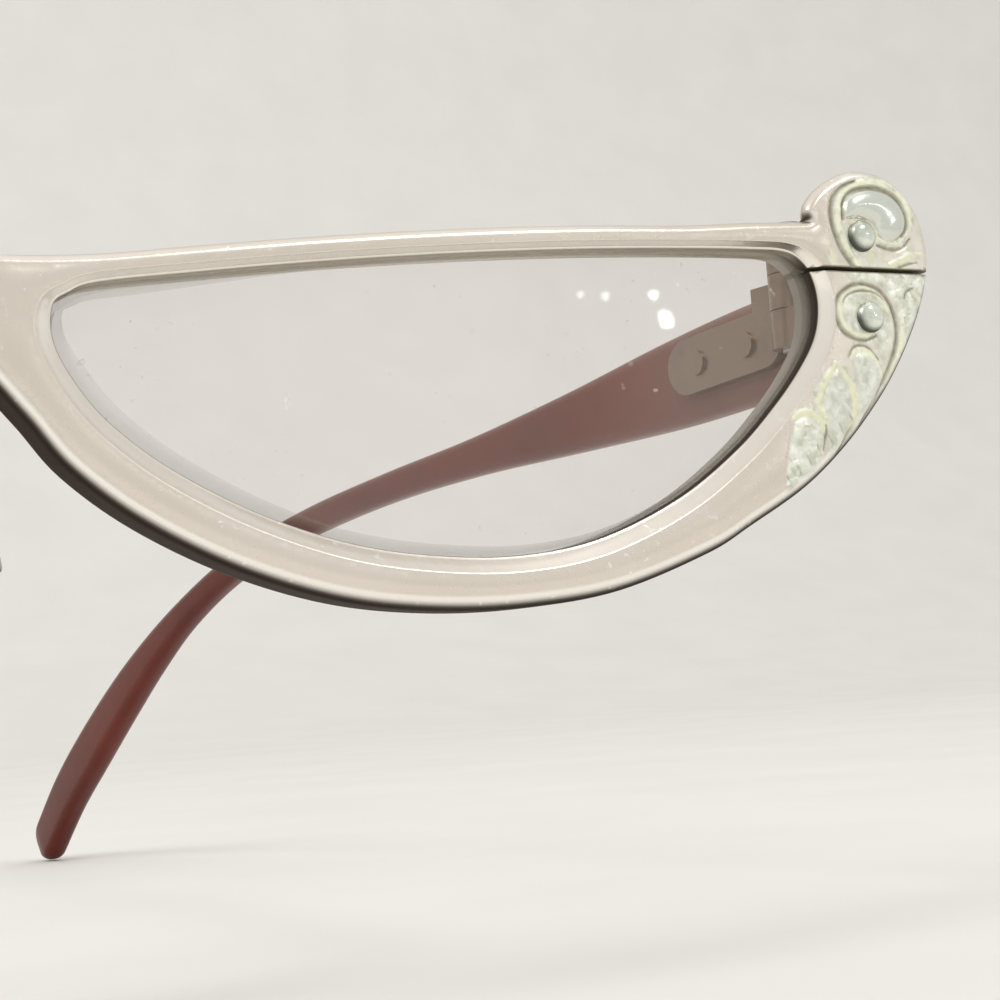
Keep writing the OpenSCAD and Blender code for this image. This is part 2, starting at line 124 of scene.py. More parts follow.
bar = EYE_POINTS + TOP_BAR_W * outward(EYE_POINTS)
rim = EYE_POINTS + RIM_W * outward(EYE_POINTS)
# The opening sags a little at its lowest part, where the rim is slimmer.
SAG, SAG_X, SAG_W = 0.4, 38.0, 12.0
EYE_POINTS[:, 1] -= SAG * np.exp(-(((EYE_POINTS[:, 0] - SAG_X) / SAG_W) ** 2)) * (EYE_POINTS[:, 1] < -8)
EYE = curve(EYE_POINTS, 12, closed=True)
# The plate's outline runs along the brow, round the scroll, and back under the eye.
BROW_EDGE = [(-4, BRIDGE_TOP - 0.15), (0, BRIDGE_TOP), (4, BRIDGE_TOP - 0.15), (8.2, bar[0][1] - 0.12),
             (12.74, -0.75), *bar[1:7], lug(-8.1, BROW_Z + 1.53), lug(-4.6, BROW_Z + 1.75), lug(-3.7, 2.97)]
SCROLL_EDGE = [lug(*p) for p in (
    (-3.7, 2.97), (-3.92, 3.6), (-3.5, 4.3), (-2.85, 4.92), (-1.8, 5.6), (-0.4, 6.16), (1.1, 6.25),
    (2.65, 5.8), (3.8, 4.9), (4.75, 3.5), (5.17, 1.8), (5.12, 0.3), (4.64, -1.4), (3.75, -3.3),
    (2.35, -5.6), (0.6, -7.85), (-2.13, -10.6), (-5.38, -13.1), (-9.48, -15.3))]
UNDER_EDGE = [(47.5, -16.8), (41.45, -18.68), *rim[18:25]]
NOSE_EDGE = [(6.4, BRIDGE_LOW - 1.3), (3.5, BRIDGE_LOW - 0.3), (0, BRIDGE_LOW), (-4, BRIDGE_LOW - 0.35)]
OUTLINE = np.vstack([curve(BROW_EDGE, 8)[:-1], curve([*SCROLL_EDGE, *UNDER_EDGE, *NOSE_EDGE], 8)])


def layer(p, offset, depth, up=0.0, down=0.0, drawn_in=0.0):
    """The outline moved out by an offset, at a depth behind the face.

    The offset grows by `up` and `down` where the outline faces up or down, and
    `drawn_in` moves the curl's inner side towards the endpiece.
    """
    n = outward(p)
    out = offset * (1 + up * np.maximum(n[:, 1], 0) + down * np.maximum(-n[:, 1], 0))
    x = p[:, 0] + out * n[:, 0] + drawn_in * np.where(p[:, 1] > CURL_LOW, np.maximum(-n[:, 0], 0), 0)
    return np.stack([x, np.full(len(p), depth), p[:, 1] + out * n[:, 1]], 1)


def inside(points, ring):
    """Whether each point [x, z] lies in a closed ring."""
    x, z = points[:, 0], points[:, 1]
    hit = np.zeros(len(points), bool)
    for (x1, z1), (x2, z2) in zip(ring, np.roll(ring, -1, 0)):
        if z1 != z2:
            hit ^= ((z1 > z) != (z2 > z)) & (x < (x2 - x1) * (z - z1) / (z2 - z1) + x1)
    return hit


def reach(points, line, widths=None, closed=False):
    """Each point's distance to a line, in widths of the line where these are given."""
    q = np.array(line, float)
    best = np.full(len(points), 1e9)
    w = np.ones(len(q)) if widths is None else np.interp(
        np.linspace(0, 1, len(q)), np.linspace(0, 1, len(widths)), widths)
    last = len(q) if closed else len(q) - 1
    for i in range(last):
        a, b = q[i], q[(i + 1) % len(q)]
        ab = b - a
        t = np.clip(((points - a) @ ab) / max(ab @ ab, 1e-12), 0, 1)
        d = np.linalg.norm(points - a - t[:, None] * ab, axis=1)
        best = np.minimum(best, d / (w[i] + (w[(i + 1) % len(q)] - w[i]) * t))
    return best


# The ornament on the endpiece is rolled into the plate: a scroll that curls round
# the upper rivet, a ring round the lower one, and leaves that run down the rim.
# Each cut is a line of points [x, z] from the saw cut, its half widths and its depth.
CUTS = [
    ([(-0.75, 0.1), (-1.3, 0.8), (-1.65, 1.3), (-1.95, 2), (-2.15, 2.7), (-2.18, 3.5), (-2.0, 4.2),
      (-1.6, 4.75), (-1.0, 5.2), (-0.2, 5.5)], (0.2, 0.24, 0.24, 0.12), 0.2),
    ([(-1.3, 3.1), (-1.3, 4.0), (-0.9, 4.6), (-0.2, 4.98), (0.9, 5.15), (2.0, 5.0), (2.8, 4.6),
      (3.3, 3.9), (3.52, 3.2), (3.4, 2.6), (3.0, 2.2)], (0.12, 0.17, 0.2, 0.2, 0.12), 0.2),
    ([(1.1, 1.6), (1.8, 1.38), (2.5, 1.35), (3.2, 1.6), (3.7, 2.1)], (0.1, 0.2, 0.08), 0.16),
    ([(2.6, 0.2), (3.3, 0.45), (4.1, 0.6)], (0.08, 0.16, 0.06), 0.1),
    ([(2.0, -2.9), (1.8, -2.2), (1.4, -1.6), (0.8, -1.1), (-0.2, -0.88), (-1, -0.95), (-1.7, -1.3),
      (-2.2, -1.75), (-2.42, -2.3), (-2.42, -2.9), (-2.2, -3.5), (-1.8, -3.95), (-1.1, -4.25),
      (-0.3, -4.32), (0.4, -4.05)], (0.2, 0.18, 0.2, 0.2, 0.1), 0.2),
    ([(-1.9, -2.1), (-1.5, -1.6), (-0.5, -1.3), (0.6, -1.42), (1.2, -1.85)], (0.06, 0.13, 0.08), 0.1),
    ([(1.85, -2.3), (2.03, -3), (2.03, -4), (1.8, -4.8), (1.4, -5.6), (1.0, -6.3), (0.4, -7.2),
      (-0.1, -7.9)], (0.16, 0.2, 0.2, 0.1), 0.2),
    ([(2.85, -1.7), (3.0, -1.3), (3.6, -1.0)], (0.08, 0.16, 0.06), 0.14),
    ([(-1.8, -5.4), (-1.35, -4.78), (-0.7, -4.66), (-0.1, -4.88), (0.45, -5.5)], (0.06, 0.14, 0.06), 0.12),
    ([(-1.4, -9.8), (-1.1, -9.1), (-0.6, -8.5), (-0.2, -7.9)], (0.06, 0.14, 0.1), 0.12),
    ([(-3.3, -11.3), (-2.5, -10.2), (-2.1, -9.6)], (0.06, 0.14, 0.1), 0.12),
    ([(-4.3, -11.0), (-4.0, -10.1), (-3.95, -9.5)], (0.08, 0.14, 0.06), 0.12),
]
# Each ridge is such a line with a height, and how cream and how green it is.
RIDGES = [
    ([(-0.45, 0.1), (-1.0, 0.9), (-1.35, 1.7), (-1.6, 2.4), (-1.7, 3.0), (-1.6, 3.7), (-1.25, 4.4),
      (-0.7, 4.95), (0, 5.3), (0.9, 5.5), (1.9, 5.4), (2.8, 5.0), (3.5, 4.3), (3.85, 3.4), (3.75, 2.7)],
     (0.3, 0.32, 0.22, 0.24, 0.3, 0.12), 0.16, 1.0, 0.3),
    ([(0.98, 2.55), (1.15, 2.05), (1.6, 1.75), (2.2, 1.65), (2.8, 1.8), (3.25, 2.3)],
     (0.1, 0.24, 0.1), 0.14, 1.0, 0.1),
    ([(-2.5, 1.2), (-2.35, 0.7), (-2.2, 0.2)], (0.06, 0.2, 0.14), 0.08, 0.6, 1.0),
    ([(0.5, 1.0), (0.65, 0.6)], (0.25, 0.2), 0.06, 0.3, 1.0),
    ([(1.9, 0.35), (2.8, 0.6), (3.6, 0.95), (4.5, 1.15)], (0.12, 0.3, 0.3, 0.08), 0.12, 0.7, 0.8),
    ([(1.45, -2.6), (1.15, -2.0), (0.65, -1.55), (-0.2, -1.1), (-1.0, -1.2), (-1.6, -1.55), (-2.05, -2.1),
      (-2.15, -2.8), (-1.95, -3.4), (-1.5, -3.8), (-1.0, -4.0), (-0.3, -4.05), (0.2, -3.85)],
     (0.14, 0.2, 0.24, 0.22, 0.1), 0.14, 0.8, 0.5),
    ([(2.55, -2.9), (2.45, -3.5), (2.35, -4.3), (1.95, -5.2), (1.45, -6.2), (0.9, -7.1)],
     (0.12, 0.26, 0.3, 0.2), 0.14, 1.0, 0.5),
    ([(3.6, -1.35), (4.0, -1.75), (4.15, -2.0)], (0.14, 0.26, 0.08), 0.12, 1.0, 0.3),
    ([(-1.6, -5.35), (-1.2, -5.0), (-0.75, -4.95), (-0.15, -5.25), (0.35, -5.9), (0.5, -6.6)],
     (0.1, 0.22, 0.2, 0.1), 0.12, 0.9, 0.4),
    ([(-2.8, -5.75), (-3.15, -6.25), (-3.65, -6.85), (-4.1, -7.6), (-4.35, -8.3), (-3.95, -9.1)],
     (0.1, 0.26, 0.28, 0.12), 0.14, 0.8, 0.9),
    ([(-2.8, -5.75), (-2.4, -6.25), (-1.95, -6.9), (-1.7, -7.7), (-1.75, -8.8), (-2.1, -9.6),
      (-2.6, -10.2)],
     (0.1, 0.26, 0.28, 0.26, 0.1), 0.14, 0.8, 0.9),
    ([(-6.25, -9.2), (-5.75, -8.85), (-5.1, -8.82), (-4.6, -9.05), (-4.2, -9.5), (-4.0, -10.0)],
     (0.1, 0.3, 0.3, 0.1), 0.13, 0.7, 1.0),
]
# Bodies are closed outlines with a height, a soft border, and how pale, how
# polished and how hammered they are.
BULB = [(-1.15, 3.2), (-1.15, 3.95), (-0.8, 4.45), (-0.1, 4.82), (0.9, 5.0), (1.95, 4.85), (2.7, 4.45),
        (3.17, 3.85), (3.36, 3.25), (3.25, 2.65), (2.95, 2.25), (2.5, 1.95), (2.0, 1.85), (1.5, 2.0),
        (1.2, 2.35), (1.05, 2.75), (0.8, 3.0), (-0.2, 3.2)]
BODIES = [
    (BULB, 0.42, 1.1, 0.15, 1.0, 0.0),
    ([(-1.0, -0.15), (4.9, -0.15), (4.5, -1.7), (3.7, -3.3), (2.4, -5.5), (1.4, -6.9), (0.6, -7.6),
      (1.2, -6.4), (2.1, -4.6), (2.2, -3.0), (1.9, -1.9), (1.2, -1.1), (0.2, -0.75), (-0.8, -0.75)],
     0.03, 0.2, 0.85, 0.0, 1.0),
    ([(-2.0, -2.6), (-1.6, -1.7), (-0.6, -1.25), (0.7, -1.4), (1.5, -2.1), (1.8, -3.2), (1.7, -4.5),
      (1.0, -5.8), (0.6, -5.2), (0.3, -4.4), (-0.5, -4.0), (-1.5, -3.7)], 0.04, 0.25, 0.75, 0.0, 0.5),
    ([(-1.5, -5.4), (-0.8, -5.1), (0.0, -5.4), (0.6, -6.3), (0.3, -7.2), (-0.4, -8.2), (-1.2, -9.2),
      (-1.5, -8.0), (-1.4, -6.6)], 0.16, 0.6, 0.8, 0.3, 0.5),
    ([(-2.8, -6.1), (-2.2, -6.9), (-1.9, -7.8), (-2.0, -8.9), (-2.5, -10.0), (-3.6, -11.3),
      (-3.9, -10.2), (-4.1, -8.6), (-3.6, -7.3)], 0.16, 0.7, 0.8, 0.35, 0.5),
    ([(-6.1, -9.3), (-5.2, -9.0), (-4.4, -9.5), (-4.1, -10.6), (-4.4, -11.6), (-5.4, -12.5),
      (-7.2, -13.4), (-7.0, -11.6), (-6.6, -10.2)], 0.12, 0.6, 0.85, 0.1, 0.8),
]
# Short nicks at the leaves' lower edge, each with its place and its height.
NOTCHES = [(-4.3, -11.6, 0.9), (-5.1, -12.1, 0.8), (-5.9, -12.6, 0.7), (-6.7, -13.1, 0.6),
           (-3.4, -10.9, 0.8), (-2.6, -10.2, 0.8), (-1.8, -9.4, 0.7)]
ORNAMENT_X, ORNAMENT_Z = -8.5, -14.5
CHIP_SIZE, CHIP_SEED = 0.3, 5
# The marks of two punches: how strong, how large, and the seed of their places.
PUNCHES = ((1.2, 0.55, 3), (0.5, 0.3, 4))
HAMMER, COLOUR_EDGE = 0.07, 0.12


def ripples(p, size, seed):
    """Uneven hammer marks from 0 to 1, the same each time."""
    levels = np.random.default_rng(seed).random((64, 64))
    cell = np.floor(p / size).astype(int)
    part = p / size - cell
    x, z = (part * part * (3 - 2 * part)).T
    rows = []
    for row in (cell[:, 1] % 64, (cell[:, 1] + 1) % 64):
        rows.append(levels[cell[:, 0] % 64, row] * (1 - x) + levels[(cell[:, 0] + 1) % 64, row] * x)
    return rows[0] * (1 - z) + rows[1] * z


def facets(p, size, seed):
    """Small flat tilted faces, as a punch leaves them, from -1 to 1."""
    draw = np.random.default_rng(seed)
    middles, tilts = draw.random((48, 48, 2)), draw.uniform(-1, 1, (48, 48, 2))
    home = np.floor(p / size).astype(int)
    nearest, height = np.full(len(p), 9.0), np.zeros(len(p))
    for i in (-1, 0, 1):
        for k in (-1, 0, 1):
            cell = home + (i, k)
            at = (cell[:, 0] % 48, cell[:, 1] % 48)
            off = p / size - cell - middles[at]
            far = (off**2).sum(1)
            height = np.where(far < nearest, (off * tilts[at]).sum(1), height)
            nearest = np.minimum(nearest, far)
    return height


def ornament(points):
    """How far the face stands back, and how dark, cream, green, pale, polished and shaded it is there."""
    place = points - np.array([ANCHOR_X, 0.0])
    near = (place[:, 0] > ORNAMENT_X) & (place[:, 1] > ORNAMENT_Z)
    p = place[near]
    back, dark, cream, green, pale, polish = (np.zeros(len(p)) for _ in range(6))
    chips = ripples(p, CHIP_SIZE, CHIP_SEED)
    punched = sum(share * facets(p, size, seed) for share, size, seed in PUNCHES)
    for ring, height, border, paleness, polished, hammered in BODIES:
        ring = curve(ring, 5, closed=True)
        deep = np.where(inside(p, ring), reach(p, ring, closed=True), 0)
        on = np.clip(deep / border, 0, 1)
        back -= height * np.sqrt(np.clip(1 - (1 - on) ** 2, 0, 1))
        back -= HAMMER * hammered * punched * on
        edge = np.clip(deep / COLOUR_EDGE, 0, 1)
        pale = np.maximum(pale, paleness * edge)
        polish = np.maximum(polish * (1 - edge), polished * edge)
    # A ridge is chipped, and pale oxide lies beside it.
    for line, widths, height, creamy, greenish in RIDGES:
        far = reach(p, curve(line, 5), widths)
        pale = np.maximum(pale, 0.85 * np.clip(2.6 - far - chips, 0, 1))
        on = np.clip(1.25 - far**2 * (0.8 + 0.9 * chips), 0, 1)
        on = on * on * (3 - 2 * on)
        back -= height * (0.28 + 0.35 * chips) * on
        cream = np.maximum(cream, creamy * on)
        green = np.maximum(green, greenish * on)
        polish *= 1 - on
    # A cut goes through what stands above it, and takes its polish and cream away.
    for line, widths, depth in CUTS:
        on = np.clip(1 - reach(p, curve(line, 5), widths) ** 2, 0, 1) ** 1.3
        back += (0.6 * depth + 0.3 * np.maximum(-back, 0)) * on
        dark = np.maximum(dark, on * (0.65 + 0.35 * chips))
        cream *= 1 - on
        polish *= 1 - on
    for x, z, size in NOTCHES:
        on = np.clip(1 - reach(p, [(x, z), (x - 0.45, z + size)], (0.12, 0.04)) ** 2, 0, 1)
        back += 0.07 * on
        dark = np.maximum(dark, 0.3 * on)
    # A pale wash covers the outer part of the endpiece.
    pale = np.maximum(pale, 0.3 * np.clip((p[:, 0] + 2.5) / 1.5, 0, 1))
    # The tone is painted light and shade of the punched facets, with the chips.
    tone = np.clip(0.5 + 0.55 * punched + 0.5 * (chips - 0.5), 0, 1)
    spread = [np.zeros(len(points)) for _ in range(7)]
    for whole, values in zip(spread, (back, dark, cream, green, pale, polish, tone)):
        whole[near] = values
    return spread


class Shell:
    """Points and faces of one sheet of metal or plastic, built ring by ring."""

    def __init__(self):
        self.points, self.faces, self.count = [], [], 0

    def ring(self, p):
        """Adds points, and gives their numbers back."""
        self.points.append(np.asarray(p, float))
        first, self.count = self.count, self.count + len(p)
        return np.arange(first, self.count)

    def band(self, a, b, closed=True):
        """Faces from one ring of points to the next of equal length."""
        n = len(a)
        for i in range(n if closed else n - 1):
            k = (i + 1) % n
            self.faces.append((a[i], b[i], b[k], a[k]))

    def bands(self, rings, closed=True):
        for a, b in zip(rings, rings[1:]):
            self.band(a, b, closed)

    def all_points(self):
        return np.vstack(self.points)

    def mesh(self, name, points=None):
        data = bpy.data.meshes.new(name)
        data.from_pydata((self.all_points() if points is None else points).tolist(), [],
                         [tuple(int(i) for i in f) for f in self.faces])
        data.validate()
        return data


def paint(data, name, values):
    """Stores a value from 0 to 1 at each point, for the material to read."""
    data.attributes.new(name, "FLOAT", "POINT").data.foreach_set("value", values.astype(np.float32))


LEAST_ROOM = 0.05


def flat_sheet(shell, outer, inner, fine, depth, flip):
    """Triangles from an outer ring to an inner one, over extra points where the face has detail."""
    rings = [shell.all_points()[r][:, [0, 2]] for r in (outer, inner)]
    loose = fine[inside(fine, rings[0]) & ~inside(fine, rings[1])]
    room = np.minimum(reach(loose, rings[0], closed=True), reach(loose, rings[1], closed=True))
    loose = loose[room > LEAST_ROOM]
    added = shell.ring(np.stack([loose[:, 0], np.full(len(loose), depth), loose[:, 1]], 1))
    index = np.concatenate([outer, inner, added])
    flat = np.vstack([*rings, loose])
    n, m = len(outer), len(inner)
    edges = [(i, (i + 1) % n) for i in range(n)] + [(n + i, n + (i + 1) % m) for i in range(m)]
    got, _, faces, origin, _, _ = delaunay_2d_cdt([Vector(p) for p in flat], edges, [], 0, 1e-7)
    faces = np.array([f for f in faces if len(f) == 3])
    got = np.array([v[:] for v in got])
    middle = got[faces].mean(1)
    faces = faces[inside(middle, rings[0]) & ~inside(middle, rings[1])]
    mine = np.array([index[o[0]] if o else -1 for o in origin])
    for f in faces:
        a, b, c = mine[f]
        if min(a, b, c) >= 0:
            shell.faces.append((a, b, c) if flip else (a, c, b))
    return index[n + m:]


def grid(x0, x1, z0, z1, step):
    """Points [x, z] in rows and columns."""
    return np.stack(np.meshgrid(np.arange(x0, x1, step), np.arange(z0, z1, step)), -1).reshape(-1, 2)


half = Shell()
# The rolled edge, side wall and back edge of the plate, from its face backwards.
# The roll is wider on the under side, and the curl of the scroll narrows backwards.
EDGE_DEPTH, BACK_DEPTH = 1.2 * EDGE_R, 1.5 * BACK_R
UNDER_ROLL, CURL_IN, CURL_BACK = 0.45, 1.4, 0.2
WALL_FROM, WALL_TO = EDGE_DEPTH, FRONT_T - BACK_DEPTH
edge_layers = [(-EDGE_R * (1 - math.sin(a)), EDGE_DEPTH * (1 - math.cos(a)), 0,
                UNDER_ROLL * (1 - math.sin(a) ** 4)) for a in np.linspace(0, math.pi / 2, 9)]
wall_layers = [(0, WALL_FROM + (WALL_TO - WALL_FROM) * t, 0, 0, CURL_IN * t) for t in (0.25, 0.5, 0.75, 1)]
back_layers = [(-BACK_R * (1 - math.cos(a)), FRONT_T - BACK_DEPTH * (1 - math.sin(a)), 0, 0,
                CURL_IN + CURL_BACK * math.sin(a)) for a in np.linspace(0, math.pi / 2, 6)[1:]]
outer_rings = [half.ring(layer(OUTLINE, *d)) for d in edge_layers + wall_layers + back_layers]
# The eye: a bevel, narrower along the brow, a thin step, and the wall with the
# groove that holds the lens.
BROW_BEVEL = -0.58
eye_layers = [(BEVEL_W + 0.05, 0, BROW_BEVEL), (BEVEL_W - 0.01, 0.012, BROW_BEVEL),
              (BEVEL_W - 0.08, 0.06, BROW_BEVEL), (0.6, 0.26, -0.5), (0.2, 0.47, -0.2),
              (0.14, 0.52), (0.06, 0.54), (0.01, 0.58), (0, 0.66),
              (0, GROOVE_Y - 0.45), (GROOVE_D, GROOVE_Y - 0.16), (GROOVE_D, GROOVE_Y + 0.16),
              (0, GROOVE_Y + 0.45), (0, FRONT_T - 0.1), (0.1, FRONT_T), (0.14, FRONT_T)]
eye_rings = [half.ring(layer(EYE, *d)) for d in eye_layers]
# A narrow ring on the face keeps the shading of the roll and the bevel off it.
face_rim = half.ring(layer(OUTLINE, -EDGE_R - 0.03, 0, 0, UNDER_ROLL))
eye_rim = half.ring(layer(EYE, BEVEL_W + 0.09, 0, BROW_BEVEL))
half.bands([face_rim, *outer_rings])
half.band(eye_rings[0], eye_rim)
for a, b in zip(eye_rings, eye_rings[1:]):
    half.band(b, a)
# The face has fine triangles under the ornament, and the back is plain.
FINE, COARSE, PLAIN = 0.08, 0.28, 0.9
FINE_X, FINE_Z, TOP_Z = ANCHOR_X - 7.8, -14.0, 6.4
PLATE_BOX = (-4, ANCHOR_X + 5, -20, TOP_Z)
fine = grid(FINE_X, ANCHOR_X + 5.4, FINE_Z, TOP_Z, FINE)
coarse = grid(*PLATE_BOX, COARSE)
coarse = coarse[(coarse[:, 0] < FINE_X - 0.1) | (coarse[:, 1] < FINE_Z - 0.1)]
face = flat_sheet(half, face_rim, eye_rim, np.vstack([fine, coarse]), 0.0, False)
flat_sheet(half, outer_rings[-1], eye_rings[-1], grid(*PLATE_BOX, PLAIN), FRONT_T, True)

points = half.all_points()
# Polishing has crowned the face a little between the bevel and the rolled edge,
# all along the rims but not on the bridge and the endpieces.
CROWN_H, CROWN_W, BROAD_W, FADE_W = 0.12, 1.8, 4.5, 2
flat = points[face][:, [0, 2]]
from_eye, from_edge = (reach(flat, points[ring][:, [0, 2]], closed=True) for ring in (eye_rim, face_rim))
width = from_eye + from_edge
crown = CROWN_H * np.clip(width / CROWN_W, 0, 1) * np.clip((BROAD_W - width) / FADE_W, 0, 1)
points[face, 1] -= crown * 4 * from_eye * from_edge / width**2
back, *looks = ornament(points[:, [0, 2]])
# The ornament runs out over the rolled edge and the bevel.
carved = np.zeros(len(points))
carved[face] = carved[face_rim] = 1
carved[eye_rim] = 0.6
for ring, share in zip(outer_rings[:6], (1, 0.85, 0.6, 0.35, 0.15, 0.05)):
    carved[ring] = share
for ring, share in zip(eye_rings[:2], (0.5, 0.2)):
    carved[ring] = share
points[:, 1] += back * carved
looks = [values * (carved > 0) for values in looks]
WALL_RINGS = eye_rings[7:]
# The eye's wall round the lens's edge is painted with shade in the gap.
for ring, share in zip(WALL_RINGS, (0.6, 0.6, 0.4, 0.3, 0.3, 0.3, 0.3, 0.2, 0)):
    looks[0][ring] = share
# The side wall is painted with shade along the under side, and the edges with a bright highlight that also
# marks where wear pits lie.
side, rubbed = np.zeros(len(points)), np.zeros(len(points))
under = np.clip(-outward(OUTLINE)[:, 1] / 0.35 - 0.4, 0, 1)
SHADE_SHARES = [0, 0, 0.1, 0.5, 0.9] + [1] * 8 + [0.9, 0.7, 0.4, 0.2, 0]
HIGHLIGHT_SHARES = [0.3, 0.9, 1, 0.8, 0.5, 0.3] + [0.15] * 12
for ring, shade_share, highlight_share in zip(outer_rings, SHADE_SHARES, HIGHLIGHT_SHARES):
    side[ring] = shade_share * (0.12 + 0.88 * under)
    rubbed[ring] = highlight_share * (0.1 + 0.9 * under)
# The eye's bevel gets a painted highlight, less where it faces up at the bottom of the eye.
eye_up = outward(EYE)[:, 1]
for ring, share in zip(eye_rings, (0.2, 0.2, 0.5, 0.8, 0.8, 0.5, 0.3, 0.1)):
    rubbed[ring] = share * (1 - 0.7 * np.maximum(-eye_up, 0))
# The eye's wall gets painted shade, little of it under the top bar.
shadowed = np.clip(1.15 - 1.1 * np.maximum(eye_up, 0) ** 4, 0, 1)
for ring, share in zip(WALL_RINGS, (0.7, 1, 0.9, 0.6, 0.5, 0.5, 0.5, 0.3, 0)):
    side[ring] = share * shadowed
# The lips of the saw cut get painted shade too.
LIP = 0.07
near_cut = (points[:, 0] > NASAL_X + LENS_W) & (np.abs(points[:, 2]) < CUT_GAP / 2 + LIP)
looks[0][near_cut & (carved > 0)] = 1

mesh = half.mesh("front_half", points)
LOOKS = ("groove", "cream", "leaf", "pale", "polish", "tone", "side", "rubbed")
for name, values in zip(LOOKS, [*looks, side, rubbed]):
    paint(mesh, name, values)
work = bmesh.new()
work.from_mesh(mesh)


def trim(work, at, normal, region):
    """Cuts the faces of a region along a plane."""
    faces = [f for f in work.faces if region(f)]
    parts = list({e for f in faces for e in f.edges} | {v for f in faces for v in f.verts}) + faces
    bmesh.ops.bisect_plane(work, geom=parts, dist=1e-6, plane_co=at, plane_no=normal)


# The half ends at the middle of the bridge.
trim(work, (0, 0, 0), (1, 0, 0), lambda f: min(v.co.x for v in f.verts) < 1)
bmesh.ops.delete(work, geom=[f for f in work.faces if f.calc_center_median().x < 0], context="FACES")
# The saw cut runs from the eye through the endpiece, and its two walls are closed.
CUT_FROM = NASAL_X + LENS_W - 3


def near_saw(f, height):
    """Whether a face lies at the temple side, less than a height from the saw cut's middle."""
    middle = f.calc_center_median()
    return middle.x > CUT_FROM and abs(middle.z) < height


for z in (CUT_GAP / 2, -CUT_GAP / 2):
    trim(work, (0, 0, z), (0, 0, 1), lambda f: near_saw(f, 2))
sawn = [f for f in work.faces if near_saw(f, CUT_GAP / 2 - 1e-5)]
bmesh.ops.delete(work, geom=sawn, context="FACES")
for z in (CUT_GAP / 2, -CUT_GAP / 2):
    rim_edges = [e for e in work.edges if e.is_boundary and all(abs(v.co.z - z) < 1e-4 for v in e.verts)]
    bmesh.ops.triangle_fill(work, edges=rim_edges, use_beauty=True)
bmesh.ops.remove_doubles(work, verts=work.verts, dist=1e-5)
# The saw cut's walls are painted with shade.
gap_shade_layer = work.verts.layers.float["groove"]
for v in work.verts:
    if v.co.x > CUT_FROM and abs(v.co.z) < CUT_GAP / 2 + 1e-4:
        v[gap_shade_layer] = 1.0
# Each half is turned back by the wrap, over a soft bend at the bridge.
cos_w, sin_w = math.cos(WRAP), math.sin(WRAP)
for v in work.verts:
    x, y, z = v.co
    turn = min(x / BEND_HALF, 1)
    sag = math.tan(WRAP) / (2 * BEND_HALF) * max(BEND_HALF - x, 0) ** 2
    v.co = ((x * cos_w - y * sin_w * turn) * MM, (x * sin_w + y * cos_w + sag + FACE_Y) * MM,
            (z + CUT_Z) * MM)
# The other half is its mirror image, joined to it at the middle.
twin = bmesh.ops.duplicate(work, geom=work.verts[:] + work.edges[:] + work.faces[:])["geom"]
for part in twin:
    if isinstance(part, bmesh.types.BMVert):
        part.co.x = -part.co.x
bmesh.ops.reverse_faces(work, faces=[part for part in twin if isinstance(part, bmesh.types.BMFace)])
bmesh.ops.remove_doubles(work, verts=work.verts, dist=2e-7)
work.to_mesh(mesh)
work.free()


def round_off(data, angle=38):
    """Faces turned outwards and shaded smooth, with the edges over an angle kept sharp."""
    work = bmesh.new()
    work.from_mesh(data)
    bmesh.ops.recalc_face_normals(work, faces=work.faces)
    for e in work.edges:
        e.smooth = len(e.link_faces) != 2 or e.calc_face_angle(0) < math.radians(angle)
    for f in work.faces:
        f.smooth = True
    work.to_mesh(data)
    work.free()


def piece(name, data, body, slot_name, *nodes):
    """Puts a mesh in the scene, on its CAD body, in place of the nodes it dresses."""
    dressed = bpy.data.objects.new(name, data)
    bpy.context.scene.collection.objects.link(dressed)
    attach(dressed, body)
    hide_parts(*nodes)
    return dressed


round_off(mesh)
front = piece("front_plate", mesh, "front", "front_aluminium", "front_frame")


